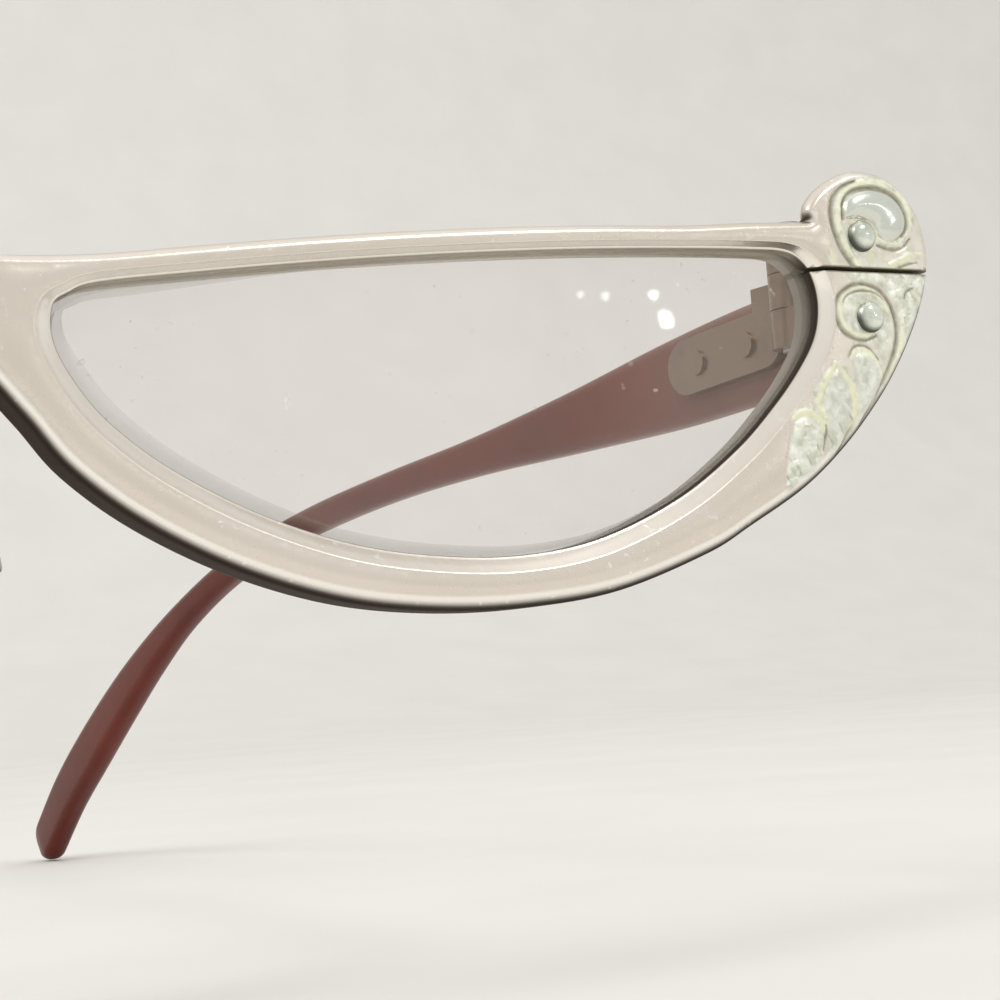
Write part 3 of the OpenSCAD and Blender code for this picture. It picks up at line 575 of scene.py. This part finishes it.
class Wire:
    """A shader socket in a sum: an expression on it adds the Math nodes that work it out."""

    def __init__(self, tree, socket=None):
        self.tree, self.socket = tree, socket

    def add(self, kind, settings=None, inputs=None, out=0):
        node = self.tree.nodes.new(kind)
        for name, value in (settings or {}).items():
            if name == "stops":
                ramp = node.color_ramp.elements
                while len(ramp) < len(value):
                    ramp.new(0.5)
                for stop, (place, colour) in zip(ramp, value):
                    stop.position, stop.color = place, (*colour, 1)
            else:
                setattr(node, name, value)
        for name, value in (inputs or {}).items():
            if isinstance(value, Wire):
                self.tree.links.new(value.socket, node.inputs[name])
            else:
                node.inputs[name].default_value = value
        return Wire(self.tree, node.outputs[out])

    def sum(self, operation, a, b, clamp=False):
        return self.add("ShaderNodeMath", {"operation": operation, "use_clamp": clamp}, {0: a, 1: b})

    def __add__(self, other): return self.sum("ADD", self, other)
    def __radd__(self, other): return self.sum("ADD", other, self)
    def __sub__(self, other): return self.sum("SUBTRACT", self, other)
    def __rsub__(self, other): return self.sum("SUBTRACT", other, self)
    def __mul__(self, other): return self.sum("MULTIPLY", self, other)
    def __rmul__(self, other): return self.sum("MULTIPLY", other, self)
    def __pow__(self, other): return self.sum("POWER", self, other)

    def held(self):
        """The value kept between 0 and 1."""
        return self.sum("ADD", self, 0.0, clamp=True)

    def noise(self, scale, detail, rough=0.5):
        place = self.add("ShaderNodeTexCoord", out="Object")
        inputs = {"Scale": scale, "Detail": detail, "Roughness": rough, "Vector": place}
        return self.add("ShaderNodeTexNoise", {}, inputs)

    def ramp(self, *stops):
        """The value through a ramp of (place, grey) stops."""
        return self.add("ShaderNodeValToRGB", {"stops": [(p, (g, g, g)) for p, g in stops]}, {"Fac": self})

    def blend(self, a, b):
        """Colour a where the value is 0 and colour b where it is 1."""
        a, b = ((c if isinstance(c, Wire) else (*c, 1)) for c in (a, b))
        return self.add("ShaderNodeMix", {"data_type": "RGBA"}, {0: self, 6: a, 7: b}, out=2)

    def painted(self, name):
        return self.add("ShaderNodeAttribute", {"attribute_name": name}, out="Fac")

    def bump(self, height, strength, distance):
        inputs = {"Height": height, "Strength": strength, "Distance": distance}
        return self.add("ShaderNodeBump", {}, inputs)


def finish_of(name, **constants):
    """A new material: its name, its shader's fixed values, and a wire to build on."""
    material = bpy.data.materials.new(name)
    material.use_nodes = True
    shader = material.node_tree.nodes["Principled BSDF"]
    for key, value in constants.items():
        key = key.replace("_", " ")
        shader.inputs[key].default_value = (*value, 1) if isinstance(value, tuple) else value
    return material, Wire(material.node_tree), shader


def feed(shader, **wires):
    """Links wires to the shader's inputs of these names."""
    for key, wire in wires.items():
        wire.tree.links.new(wire.socket, shader.inputs[key.replace("_", " ")])


# Champagne-tinted aluminium with fine pits along the rim, a painted highlight on its edges,
# painted shade on its under side, round the lenses and in the saw cuts, and in the ornament pale
# enamel-like oxide with painted facet light and shade, cream ridges and green-grey dirt.
aluminium, w, shader = finish_of("tinted aluminium")
clouds = w.noise(70, 3)
fine_scratch = w.noise(900, 2)
groove, cream, leaf, pale, polish, tone, side, rubbed = (w.painted(name) for name in LOOKS)
plate = clouds.ramp((0.3, 0.0), (0.7, 1.0)).blend((0.72, 0.655, 0.57), (0.78, 0.715, 0.64))
# Painted highlight on the edges and the bevel.
plate = rubbed.blend(plate, (0.96, 0.93, 0.86))
# Painted light and shade of the punched facets, mixed with random patches.
facet_shade_and_blotch = (0.7 * tone + 0.45 * w.noise(1100, 4, 0.65).ramp((0.38, 0.0), (0.62, 1.0))).held()
shaded_oxide = facet_shade_and_blotch.blend((0.42, 0.45, 0.33), (0.95, 1.0, 0.90))
colour = (pale * 0.92).blend(plate, shaded_oxide)
colour = polish.blend(colour, (0.70, 0.73, 0.66))
colour = (cream * (0.1 + 0.75 * facet_shade_and_blotch)).held().blend(colour, (0.88, 0.88, 0.68))
colour = (leaf * facet_shade_and_blotch * 0.7).held().blend(colour, (0.70, 0.68, 0.36))
# Green-grey dirt in the ornament's cuts, and painted shade round the lenses and in the saw cuts.
colour = (groove * 0.9).held().blend(colour, (0.17, 0.16, 0.09))
# Painted shade on the under side wall and the eye's wall.
colour = side.blend(colour, (0.036, 0.023, 0.017))
pitted = (rubbed + w.noise(130, 2).ramp((0.5, 0.0), (0.65, 1.0))).held() * (1 - side)
pits = w.noise(1500, 2, 0.6).ramp((0.66, 0.0), (0.71, 1.0)) * pitted
colour = (pits * 0.7).held().blend(colour, (0.96, 0.94, 0.90))
feed(shader, Base_Color=colour,
     Metallic=(0.95 - 0.25 * side - 0.62 * pale - 0.45 * cream + 0.5 * polish * pale - 0.5 * groove).held(),
     Roughness=(0.24 + 0.06 * fine_scratch + 0.18 * pale + 0.1 * cream - 0.14 * polish + 0.25 * groove
                - 0.08 * rubbed + 0.5 * side).held(),
     Normal=w.bump(fine_scratch + 0.8 * facet_shade_and_blotch * pale - pits, 0.08, 0.0002))
front.data.materials.append(aluminium)

# The lenses
# Half-moon reading lenses of white crown glass, ground to the eye with a bevelled
# edge whose tongue sits in the groove of the rim.
LENS_T, LENS_GAP, LENS_FRONT_Y = 2.4, 0.12, -0.3
LENS_FRONT_R, LENS_BACK_R = 200.0, 400.0
LENS_MID = np.array(eye(0.5, 0.5))
SHORT, CORNER_R = 0.3, 2.6


def to_model(points, side):
    """From the half frame of one side, in millimetres, to the model's metres."""
    p = np.asarray(points, float)
    x, y, z = p[..., 0], p[..., 1], p[..., 2]
    return np.stack([side * (x * cos_w - y * sin_w), x * sin_w + y * cos_w + FACE_Y, z + CUT_Z], -1) * MM


def bowl(points, middle_y, radius):
    """The depth of a spherical surface over points [x, z]."""
    r2 = ((points - LENS_MID) ** 2).sum(1)
    return middle_y + radius - np.sqrt(radius**2 - r2)


def lens_layer(offset, depth):
    """A contour of the lens, which was ground a little short at its nasal corner."""
    corner = np.exp(-((np.linalg.norm(EYE - np.array(NOSE_CORNER[1]), axis=1) / CORNER_R) ** 2))
    out = np.maximum(offset, -SHORT) - SHORT * corner + np.minimum(offset + SHORT, 0) * (1 - corner)
    p = layer(EYE, 0.0, depth)
    p[:, [0, 2]] += outward(EYE) * out[:, None]
    return p


glass = Shell()
# The front surface ends at the ground band, which is wider near the nose.
grind = 0.4 + 0.5 * np.clip(1 - (EYE[:, 0] - NASAL_X) / 14, 0, 1)
flat = lens_layer(-LENS_GAP - grind, 0)[:, [0, 2]]
rings, ground = [], []
for s in (0.04, 0.12, 0.25, 0.4, 0.55, 0.7, 0.82, 0.91, 0.97, 1.0):
    p = LENS_MID + (flat - LENS_MID) * s
    rings.append(glass.ring(np.stack([p[:, 0], bowl(p, LENS_FRONT_Y, LENS_FRONT_R), p[:, 1]], 1)))
    ground.append(0.0)
# The ground band slopes back to the tongue, which is wide at its root.
TONGUE, ROOT_HALF, TIP_HALF = GROOVE_D - LENS_GAP, 0.36, 0.08
edge_front = bowl(flat, LENS_FRONT_Y, LENS_FRONT_R)
for share, t in ((0.95, 0.03), (0.53, 0.42), (0.0, 1.0)):
    p = lens_layer(-LENS_GAP - share * grind, 0)
    p[:, 1] = edge_front + (GROOVE_Y - ROOT_HALF - edge_front) * t
    rings.append(glass.ring(p))
    ground.append(1.0)
for offset, depth in ((TONGUE, -TIP_HALF), (TONGUE, TIP_HALF), (-LENS_GAP, ROOT_HALF)):
    rings.append(glass.ring(lens_layer(offset, GROOVE_Y + depth)))
    ground.append(1.0)
# The back surface is a little greasy.
BACK_SHARES = (1.0, 0.9, 0.7, 0.4, 0.12, 0.04)
flat = lens_layer(-LENS_GAP, 0)[:, [0, 2]]
for s in BACK_SHARES:
    p = LENS_MID + (flat - LENS_MID) * s
    rings.append(glass.ring(np.stack([p[:, 0], bowl(p, LENS_FRONT_Y + LENS_T, LENS_BACK_R), p[:, 1]], 1)))
    ground.append(0.0)
glass.bands(rings)
glass.faces.append(tuple(rings[0][::-1]))
glass.faces.append(tuple(rings[-1]))
back_rings = len(BACK_SHARES)
greasy = np.repeat([0.0] * (len(rings) - back_rings) + [1.0] * back_rings, len(EYE))
ground = np.repeat(ground, len(EYE))

lens_glass, w, shader = finish_of("lens glass", Metallic=0.0, IOR=2.6)
edge, grease = w.painted("ground"), w.painted("grease")
dust = w.noise(1500, 2, 0.5).ramp((0.70, 0.0), (0.74, 1.0)) * w.noise(160, 3).ramp((0.5, 0.0), (0.75, 1.0))
smear = w.noise(45, 5, 0.6).ramp((0.4, 0.0), (0.75, 1.0))
facing = w.add("ShaderNodeLayerWeight", {}, {"Blend": 0.35}, out="Facing")
dusty = (dust * 0.9).held().blend((0.46, 0.41, 0.36), (0.97, 0.95, 0.92))
feed(shader, Base_Color=edge.blend(dusty, (0.40, 0.37, 0.30)),
     Roughness=(0.03 + 0.3 * edge + 0.3 * dust + 0.03 * smear + 0.4 * grease).held(),
     Alpha=(0.08 + 0.07 * smear + 0.17 * edge + 0.7 * dust + 0.3 * facing ** 3).held())
for name, side in (("right", 1), ("left", -1)):
    data = glass.mesh("lens_" + name, to_model(glass.all_points(), side))
    paint(data, "ground", ground)
    paint(data, "grease", greasy)
    round_off(data, 25)
    data.materials.append(lens_glass)
    piece("glass_" + name, data, "front", "lens_glass", "lens_" + name)

# The temples
# Side arms of dark red plastic, moulded round a steel core, deep at the hinge,
# slim above the ear, and curved down to a flat paddle behind it.
# Each point of its middle line: back, up, and the arm's height and thickness.
TEMPLE_POINTS = np.array([
    (-3, -2.5, 6.6, 3), (6, -3, 6.6, 3), (15, -3.75, 6.1, 3), (26, -4.65, 4.6, 2.65),
    (39, -5.5, 3.1, 2.3), (52, -6.35, 2.6, 2.3), (65, -7.7, 2.6, 2.3), (76, -9.5, 2.6, 2.3),
    (85, -11.7, 2.8, 2.3), (94, -14.9, 3.2, 2.3), (102, -18.5, 4.0, 2.5), (110, -22.7, 4.8, 2.7),
    (119, -28.1, 5.4, 2.7), (126.5, -33, 5.4, 2.7), (133, -38.3, 5.2, 2.7)], float)
# The arm lies beside the hinge's barrel, and ends just behind its leaves.
BARREL_R, BARREL_GAP, LEAF_T, END_GAP = 1.3, 0.25, 0.9, 0.3
TEMPLE_IN = BARREL_R + BARREL_GAP
TEMPLE_END = FRONT_T + LEAF_T + END_GAP
HINGE = np.array([ANCHOR_X - 2.1, FRONT_T + 1.9, 0.0])
LEAN = math.radians(11) - WRAP
HINGE_END_LENGTH, CORNER_SHARE = 26, 0.42


def from_temple(points):
    """From a temple's own frame at its hinge to the half frame."""
    p = np.asarray(points, float)
    x, y = p[:, 0], p[:, 1]
    return np.stack([x * math.cos(LEAN) - y * math.sin(LEAN) + HINGE[0],
                     x * math.sin(LEAN) + y * math.cos(LEAN) + HINGE[1], p[:, 2]], 1)


def temple_ring(at, height, thick, ahead, middle):
    """A section of the arm with round corners, square to its middle line."""
    r = CORNER_SHARE * min(height, thick)
    ring = []
    for (sx, sn), start in zip(((-1, 1), (1, 1), (1, -1), (-1, -1)), (180, 90, 0, -90)):
        for a in np.radians(np.linspace(start, start - 90, 7)):
            x = sx * (thick / 2 - r) + r * math.cos(a)
            n = sn * (height / 2 - r) + r * math.sin(a)
            ring.append((middle + x, at[0] - n * ahead[1], at[1] + n * ahead[0]))
    return ring


line = curve(TEMPLE_POINTS, 8)
ahead = np.gradient(line[:, :2], axis=0)
ahead /= np.linalg.norm(ahead, axis=1)[:, None]
arm = Shell()
rings = []
for p, d in zip(line, ahead):
    rings.append(arm.ring(from_temple(temple_ring(p[:2], p[2], p[3], d, TEMPLE_IN + p[3] / 2))))
# The tip is round in height and thinner towards its end.
tip, end = line[-1], ahead[-1]
for a in np.radians((12, 24, 36, 48, 60, 70, 79, 86)):
    at = tip[:2] + tip[2] / 2 * math.sin(a) * end
    height, thick = tip[2] * math.cos(a), tip[3] * (0.35 + 0.65 * math.cos(a))
    rings.append(arm.ring(from_temple(temple_ring(at, height, thick, end, TEMPLE_IN + tip[3] / 2))))
arm.bands(rings)
arm.faces.append(tuple(rings[0][::-1]))
arm.faces.append(tuple(rings[-1]))

burgundy, w, shader = finish_of("dark red plastic", Metallic=0.0, IOR=1.4, Coat_Roughness=0.12,
                                Specular_IOR_Level=0.24)
swirl = w.noise(60, 5, 0.6)
# The arm is paler, rougher and with less coat towards its hinge end.
toward_hinge = w.painted("worn")
colour = swirl.ramp((0.3, 0.0), (0.7, 1.0)).blend((0.078, 0.008, 0.003), (0.135, 0.018, 0.007))
colour = (toward_hinge * 0.75 * (0.6 + 0.6 * swirl)).held().blend(colour, (0.26, 0.18, 0.145))
feed(shader, Base_Color=colour,
     Roughness=(0.26 + 0.18 * toward_hinge + 0.1 * w.noise(700, 3)).held(),
     Coat_Weight=(0.07 - 0.06 * toward_hinge).held(),
     Normal=w.bump(w.noise(140, 3), 0.04, 0.0003))
for name, side in (("right", 1), ("left", -1)):
    local = arm.all_points()
    data = arm.mesh("temple_" + name, local)
    work = bmesh.new()
    work.from_mesh(data)
    bmesh.ops.bisect_plane(work, geom=work.verts[:] + work.edges[:] + work.faces[:], dist=1e-6,
                           plane_co=(0, TEMPLE_END, 0), plane_no=(0, -1, 0), clear_outer=True)
    bmesh.ops.holes_fill(work, edges=[e for e in work.edges if e.is_boundary], sides=0)
    work.to_mesh(data)
    work.free()
    local = np.array([v.co[:] for v in data.vertices])
    paint(data, "worn", np.clip(1 - (local[:, 1] - TEMPLE_END) / HINGE_END_LENGTH, 0, 1) ** 1.5)
    data.vertices.foreach_set("co", to_model(local, side).ravel())
    round_off(data, 30)
    data.materials.append(burgundy)
    piece("arm_" + name, data, "temple_" + name, "temple_plastic", "temple_" + name)

# The rivets of the endpieces
# Round-headed nickel rivets, two on each endpiece, one above and one below the saw
# cut. Each goes through the plate and holds one leaf of the hinge behind it.
RIVET_R, HEAD_R, HEAD_H = 0.55, 0.98, 0.62
RIVETS = ((ANCHOR_X - 0.05, 2.09), (ANCHOR_X + 0.05, -2.9))
nickel, w, shader = finish_of("rivet nickel", Metallic=1.0)
tarnish = w.noise(700, 4, 0.6).ramp((0.35, 0.0), (0.7, 1.0))
# The dome's foot and the shank are painted with shade, more on the lower side.
rivet_foot_shade = w.painted("rim")
colour = tarnish.blend((0.85, 0.89, 0.80), (0.55, 0.59, 0.50))
feed(shader, Base_Color=(rivet_foot_shade * 0.9).held().blend(colour, (0.05, 0.055, 0.045)),
     Roughness=(0.11 + 0.1 * tarnish + 0.4 * rivet_foot_shade).held(),
     Normal=w.bump(w.noise(1500, 3), 0.25, 0.0001))


def turned(profile, count=48):
    """Rings of points [x, y, z] turned about the y axis from a profile of (radius, depth)."""
    a = np.linspace(0, 2 * math.pi, count, endpoint=False)
    return [np.stack([r * np.cos(a), np.full(count, y), r * np.sin(a)], 1) for r, y in profile]


# A dome, its flat under side, and the shank through the plate and the leaf.
dome = [(HEAD_R * math.sin(a), -HEAD_H * math.cos(a) ** 0.9) for a in np.linspace(0.06, math.pi / 2, 12)]
head = dome + [(HEAD_R - 0.03, 0.05), (RIVET_R, 0.06), (RIVET_R, 3.9)]
for name, side in (("right", 1), ("left", -1)):
    pins, foot_shade = Shell(), []
    for x, z in RIVETS:
        rings = [pins.ring(ring + np.array([x, 0, z])) for ring in turned(head)]
        pins.bands(rings)
        pins.faces.append(tuple(rings[0][::-1]))
        pins.faces.append(tuple(rings[-1]))
        # Painted shade lies round the foot of the dome, more on its lower side, and on the shank under the
        # head.
        for ring in turned(dome):
            low = -(0.5 * ring[:, 0] * side + 0.87 * ring[:, 2]) / HEAD_R
            foot = np.clip((math.hypot(*ring[0, [0, 2]]) / HEAD_R - 0.62) / 0.3, 0, 1)
            foot_shade.append(foot * np.clip(0.45 + 0.9 * low, 0, 1))
        foot_shade += [np.ones(len(ring)) for ring in turned(head[len(dome):])]
    data = pins.mesh("rivets_" + name, to_model(pins.all_points(), side))
    paint(data, "rim", np.concatenate(foot_shade))
    round_off(data, 60)
    data.materials.append(nickel)
    piece("rivets_" + name, data, "front", "rivet_metal", "endpiece_rivets_" + name)

# The hinges
# Three-barrel hinges of nickel silver: two leaves riveted behind the endpiece, a
# plate riveted to the temple, and a steel screw that also draws the saw cut shut.
hinge_silver, w, shader = finish_of("nickel silver", Metallic=1.0)
rub = w.noise(500, 4, 0.6)
grime = w.noise(170, 4, 0.7).ramp((0.5, 0.0), (0.7, 1.0))
feed(shader, Base_Color=(grime * 0.5).held().blend((0.28, 0.21, 0.16), (0.13, 0.10, 0.08)),
     Roughness=(0.24 + 0.25 * grime + 0.1 * rub).held(), Normal=w.bump(rub, 0.2, 0.0001))
screw_steel, w, shader = finish_of("screw steel", Metallic=1.0)
turning = w.noise(900, 3, 0.5)
colour = turning.ramp((0.4, 0.0), (0.7, 1.0)).blend((0.56, 0.56, 0.55), (0.40, 0.40, 0.39))
feed(shader, Base_Color=colour,
     Roughness=(0.2 + 0.2 * turning).held(), Normal=w.bump(turning, 0.15, 0.0001))
core_steel, w, shader = finish_of("core wire", Metallic=1.0)
colour = w.noise(300, 3).ramp((0.4, 0.0), (0.7, 1.0)).blend((0.46, 0.45, 0.43), (0.34, 0.33, 0.31))
feed(shader, Base_Color=colour, Roughness=(0.3 + 0.2 * w.noise(600, 2)).held())
dress = {"upper_hinge_leaf": hinge_silver, "lower_hinge_leaf": hinge_silver,
         "temple_hinge_plate": hinge_silver, "temple_rivets": hinge_silver,
         "hinge_screw": screw_steel, "pad_screw": screw_steel, "temple_core": core_steel}
for node, material in dress.items():
    for name in ("left", "right"):
        data = frame["nodes"][f"{node}_{name}"].data
        data.materials.clear()
        data.materials.append(material)

# The pad arms and nose pads
# Steel wire arms, each with a foot pinned behind the rim and a flat eye, and a
# clear plastic pad whose boss turns on a small screw through that eye.
pad_steel, w, shader = finish_of("pad arm steel", Metallic=1.0)
drawn = w.noise(600, 4, 0.6)
colour = drawn.ramp((0.35, 0.0), (0.7, 1.0)).blend((0.66, 0.64, 0.60), (0.50, 0.47, 0.42))
feed(shader, Base_Color=colour,
     Roughness=(0.18 + 0.2 * drawn).held(), Normal=w.bump(drawn, 0.15, 0.0001))
pad_plastic, w, shader = finish_of("pad plastic", Metallic=0.0, IOR=1.49)
yellowing = w.noise(160, 4, 0.6)
colour = yellowing.ramp((0.3, 0.0), (0.75, 1.0)).blend((0.80, 0.76, 0.66), (0.66, 0.58, 0.42))
feed(shader, Base_Color=colour, Roughness=(0.18 + 0.2 * w.noise(700, 3)).held(),
     Alpha=(0.45 + 0.25 * yellowing).held())
for name in ("left", "right"):
    for node, material in (("pad_arm", pad_steel), ("nose_pad", pad_plastic)):
        data = frame["nodes"][f"{node}_{name}"].data
        data.materials.clear()
        data.materials.append(material)

# The floor, the light and the camera
# A pale sheet of paper swept up behind the glasses, two windows and a soft light
# overhead, a pale room, and four bare bulbs that leave small bright marks.
BEND_Y, BEND_R, SHEET_TOP, BELOW = 0.45, 0.5, 1.6, 0.0002
sweep = Shell()
profile = [(-0.9, 0.0), (BEND_Y, 0.0)]
profile += [(BEND_Y + BEND_R * math.sin(a), BEND_R - BEND_R * math.cos(a))
            for a in np.linspace(0.1, math.pi / 2, 16)]
profile += [(BEND_Y + BEND_R, SHEET_TOP)]
rings = [sweep.ring([(x, y, z - BELOW) for x in np.linspace(-1.6, 1.6, 9)]) for y, z in profile]
sweep.bands(rings, closed=False)
data = sweep.mesh("floor")
for polygon in data.polygons:
    polygon.use_smooth = True
paper, w, shader = finish_of("pale paper", Metallic=0.0, Roughness=0.85)
colour = w.noise(30, 3).ramp((0.3, 0.0), (0.7, 1.0)).blend((0.79, 0.775, 0.75), (0.82, 0.805, 0.78))
feed(shader, Base_Color=colour)
data.materials.append(paper)
floor = bpy.data.objects.new("floor", data)
bpy.context.scene.collection.objects.link(floor)

world = bpy.data.worlds.new("room")
bpy.context.scene.world = world
world.use_nodes = True
world.node_tree.nodes["Background"].inputs["Color"].default_value = (1.0, 0.985, 0.955, 1)
world.node_tree.nodes["Background"].inputs["Strength"].default_value = 0.8


def soft_light(name, at, towards, size, watts):
    """A square light of a size in metres, turned towards a point."""
    lamp = bpy.data.lights.new(name, "AREA")
    lamp.size, lamp.energy = size, watts
    stand = bpy.data.objects.new(name, lamp)
    stand.location = at
    stand.rotation_euler = (Vector(towards) - Vector(at)).to_track_quat("-Z", "Y").to_euler()
    bpy.context.scene.collection.objects.link(stand)


soft_light("window", (-0.45, -0.35, 0.55), (0.03, -0.06, 0.04), 0.28, 1.5)
soft_light("second_window", (0.32, -0.5, 0.5), (0.03, -0.06, 0.04), 0.12, 0.6)
soft_light("overhead", (0.0, 0.1, 1.2), (0.0, 0.0, 0.0), 1.5, 2.4)
# The bulbs hang to the right of the camera: their directions from the lens, their
# sizes and their powers.
BARE_BULBS = (((0.656, -0.718, 0.233), 0.007, 0.009), ((0.668, -0.714, 0.208), 0.011, 0.022),
              ((0.609, -0.757, 0.235), 0.006, 0.003), ((0.585, -0.775, 0.239), 0.005, 0.002))
BULBS_AWAY, lens_middle = 0.8, Vector((0.044, -0.0685, 0.038))
for number, (away, size, watts) in enumerate(BARE_BULBS):
    soft_light(f"bulb_{number}", lens_middle + BULBS_AWAY * Vector(away), lens_middle, size, watts)
bpy.context.scene.view_settings.view_transform = "Standard"

# The camera stands where the photograph was taken from, close to the bridge.
CAMERA_AT = (-0.0079, -0.1617, 0.01808)
YAW, PITCH, ROLL = math.radians(24.37), math.radians(5.21), math.radians(-4.0)
SENSOR, FOCAL_PIXELS, IMAGE_PIXELS = 36.0, 1900, 1000
lens = bpy.data.cameras.new("camera")
lens.sensor_width = SENSOR
lens.lens = SENSOR * FOCAL_PIXELS / IMAGE_PIXELS
lens.clip_start = 0.005
camera = bpy.data.objects.new("camera", lens)
right = Vector((math.cos(YAW), -math.sin(YAW), 0))
ahead = Vector((math.sin(YAW) * math.cos(PITCH), math.cos(YAW) * math.cos(PITCH), math.sin(PITCH)))
up = right.cross(ahead)
tilted_right = math.cos(ROLL) * right + math.sin(ROLL) * up
tilted_up = -math.sin(ROLL) * right + math.cos(ROLL) * up
turn = Matrix((tilted_right, tilted_up, -ahead)).transposed().to_4x4()
camera.matrix_world = Matrix.Translation(Vector(CAMERA_AT)) @ turn
bpy.context.scene.collection.objects.link(camera)
bpy.context.scene.camera = camera
